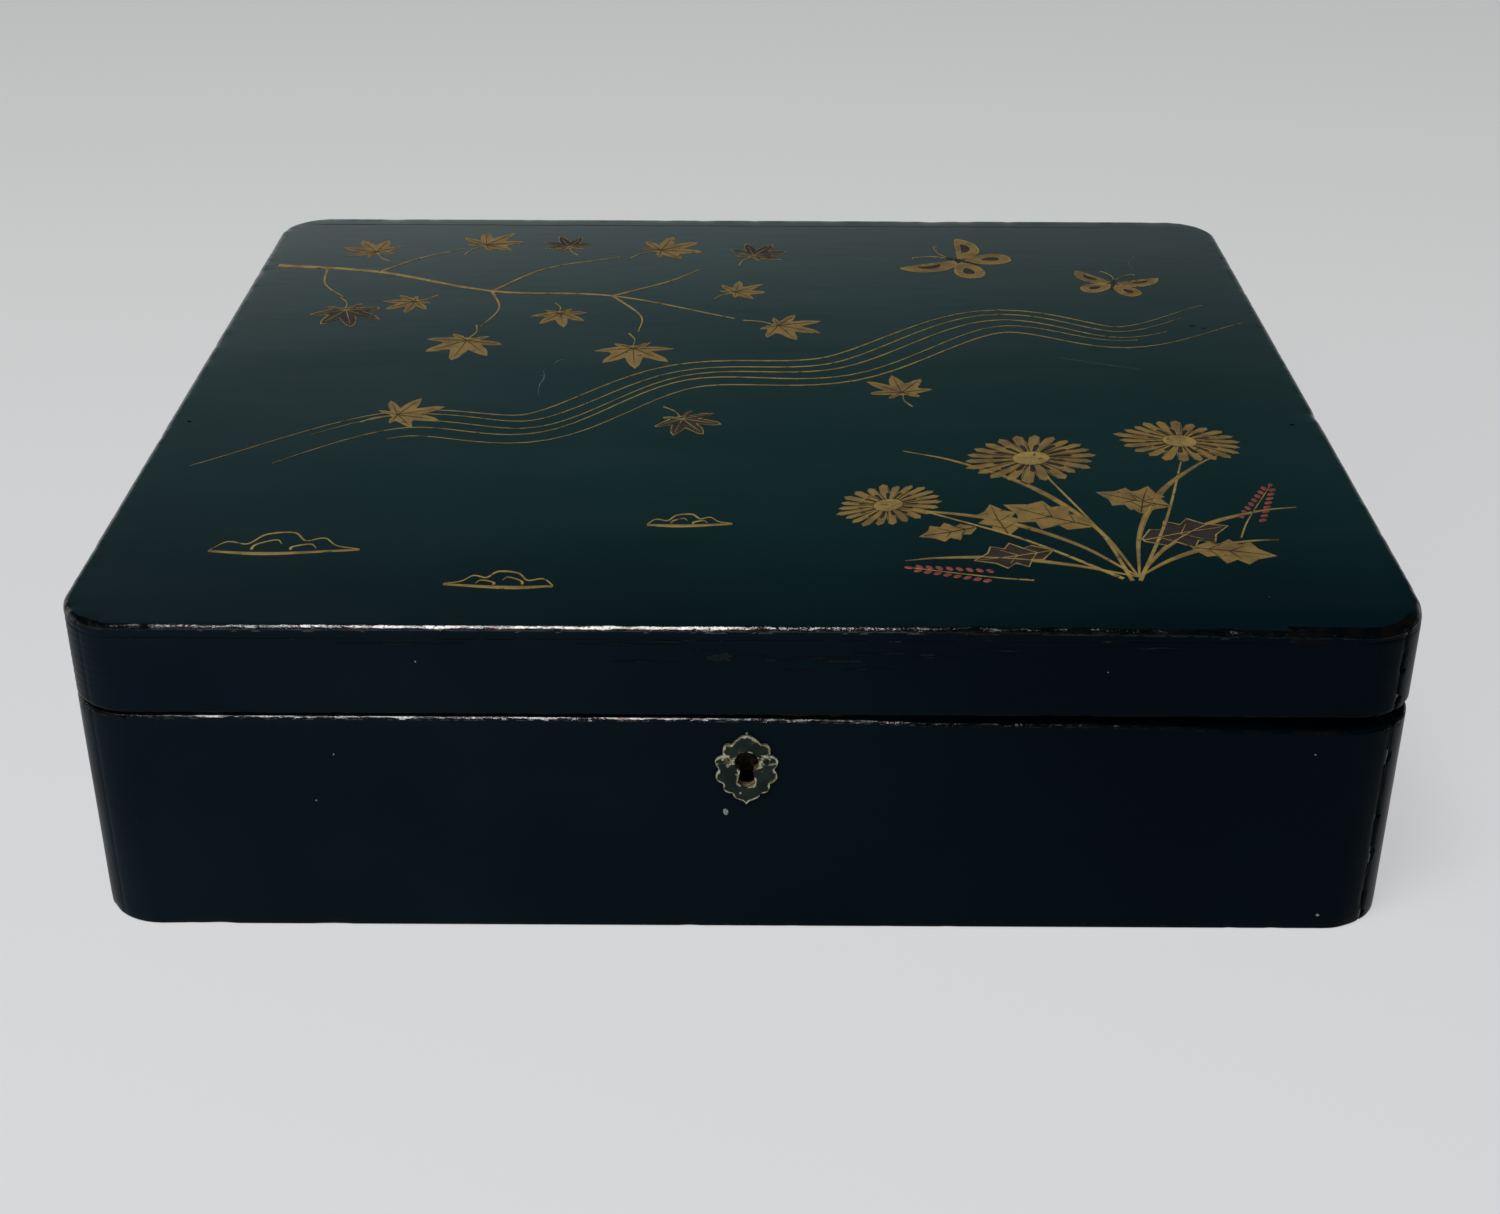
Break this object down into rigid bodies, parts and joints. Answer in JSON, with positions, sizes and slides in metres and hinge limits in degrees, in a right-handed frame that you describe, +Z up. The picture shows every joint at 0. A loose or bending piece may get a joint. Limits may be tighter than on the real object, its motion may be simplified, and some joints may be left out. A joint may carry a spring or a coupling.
{
  "type": "lacquer document box",
  "caption": "Lacquered wooden document box with rounded corners, a lid hinged at the back, an inner lip and a small sliding-bolt lock behind a petalled brass keyhole plate.",
  "frame": {"origin": "middle of the underside, where the box rests", "axes": "+X to the right along the width, +Y from the front with the keyhole to the back with the hinges, +Z up"},
  "size_m": [0.33, 0.3035, 0.0877],
  "materials": {
    "black_lacquer": "aged black lacquer with a blue-green cast on wood, worn glossy",
    "inner_lacquer": "brown-black lacquer on wood, satin",
    "brass": "aged brass, dull with brighter edges",
    "dark_brass": "brass under a green-black patina, worn bright along its edges",
    "steel": "dull filed iron",
    "gold_lacquer": "sprinkled gold lacquer, slightly raised and rubbed"
  },
  "bodies": {
    "base": {"base_bottom_board": "black_lacquer", "base_front_wall": "black_lacquer", "base_back_wall": "black_lacquer", "base_left_wall": "black_lacquer", "base_right_wall": "black_lacquer", "base_corner_block_front_left": "inner_lacquer", "base_corner_block_front_right": "inner_lacquer", "base_corner_block_back_left": "inner_lacquer", "base_corner_block_back_right": "inner_lacquer", "lip_front_left": "inner_lacquer", "lip_front_right": "inner_lacquer", "lip_back": "inner_lacquer", "lip_left": "inner_lacquer", "lip_right": "inner_lacquer", "hinge_lower_leaf_left": "brass", "hinge_pin_left": "brass", "hinge_lower_screw_left_1": "brass", "hinge_lower_screw_left_2": "brass", "hinge_lower_screw_left_3": "brass", "hinge_lower_leaf_right": "brass", "hinge_pin_right": "brass", "hinge_lower_screw_right_1": "brass", "hinge_lower_screw_right_2": "brass", "hinge_lower_screw_right_3": "brass", "lock_plate": "brass", "lock_cap": "brass", "lock_guide_pin_1": "steel", "lock_guide_pin_2": "steel", "lock_screw_1": "brass", "lock_screw_2": "brass", "lock_screw_3": "brass", "lock_screw_4": "brass", "escutcheon": "dark_brass", "escutcheon_pin_1": "dark_brass", "escutcheon_pin_2": "dark_brass"},
    "lid": {"lid_top_board": "black_lacquer", "lid_front_wall": "black_lacquer", "lid_back_wall": "black_lacquer", "lid_left_wall": "black_lacquer", "lid_right_wall": "black_lacquer", "lid_corner_block_front_left": "inner_lacquer", "lid_corner_block_front_right": "inner_lacquer", "lid_corner_block_back_left": "inner_lacquer", "lid_corner_block_back_right": "inner_lacquer", "hinge_upper_leaf_left": "brass", "hinge_upper_screw_left_1": "brass", "hinge_upper_screw_left_2": "brass", "hinge_upper_screw_left_3": "brass", "hinge_upper_leaf_right": "brass", "hinge_upper_screw_right_1": "brass", "hinge_upper_screw_right_2": "brass", "hinge_upper_screw_right_3": "brass", "strike_plate": "brass", "strike_screw_1": "brass", "strike_screw_2": "brass"},
    "bolt": {"lock_bolt": "steel", "lock_bolt_spring": "steel"}
  },
  "joints": [
    {"name": "lid_hinge", "type": "hinge", "parent": "base", "child": "lid", "pos_m": [0, 0.1494, 0.06275], "axis": [-1, 0, 0], "range_deg": [0, 100]},
    {"name": "bolt_slide", "type": "slide", "parent": "base", "child": "bolt", "axis": [1, 0, 0], "range_m": [0, 0.004]}
  ]
}
